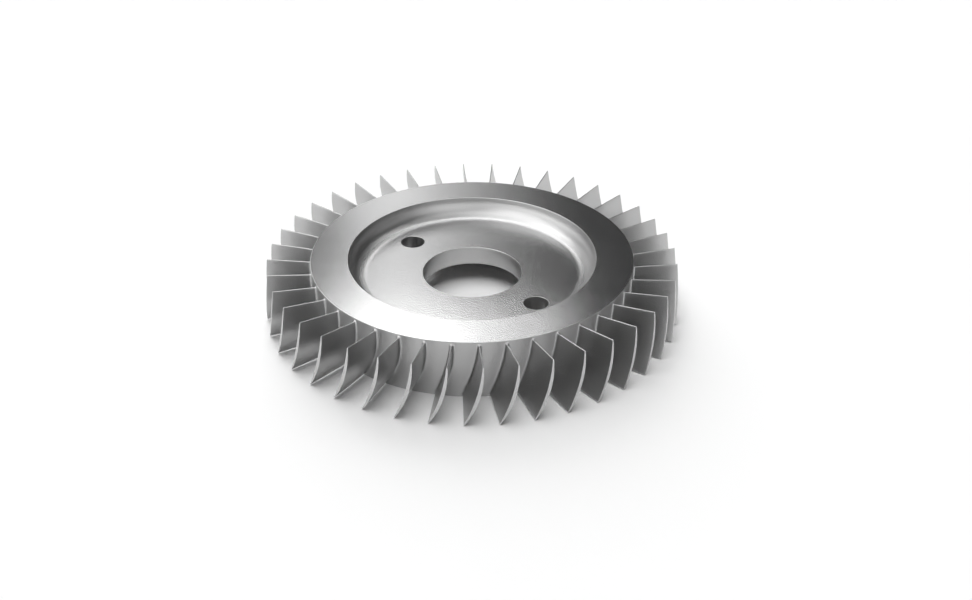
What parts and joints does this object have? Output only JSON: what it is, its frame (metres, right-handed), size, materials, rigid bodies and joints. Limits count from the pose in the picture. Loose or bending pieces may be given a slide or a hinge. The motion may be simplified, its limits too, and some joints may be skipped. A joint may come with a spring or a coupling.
{
  "type": "engine blisk",
  "caption": "Bladed disk in one piece: a dished hub with a central bore, bolt holes and a ring of thin curved blades.",
  "frame": {"origin": "centre of the disk's axis at the rim's lower face", "axes": "+Z along the disk's axis, from the blades' trailing edges up to their leading edges"},
  "size_m": [0.2042, 0.2042, 0.0298],
  "materials": {
    "machined_metal": "satin"
  },
  "bodies": {
    "root": {"blisk": "machined_metal"}
  },
  "joints": []
}
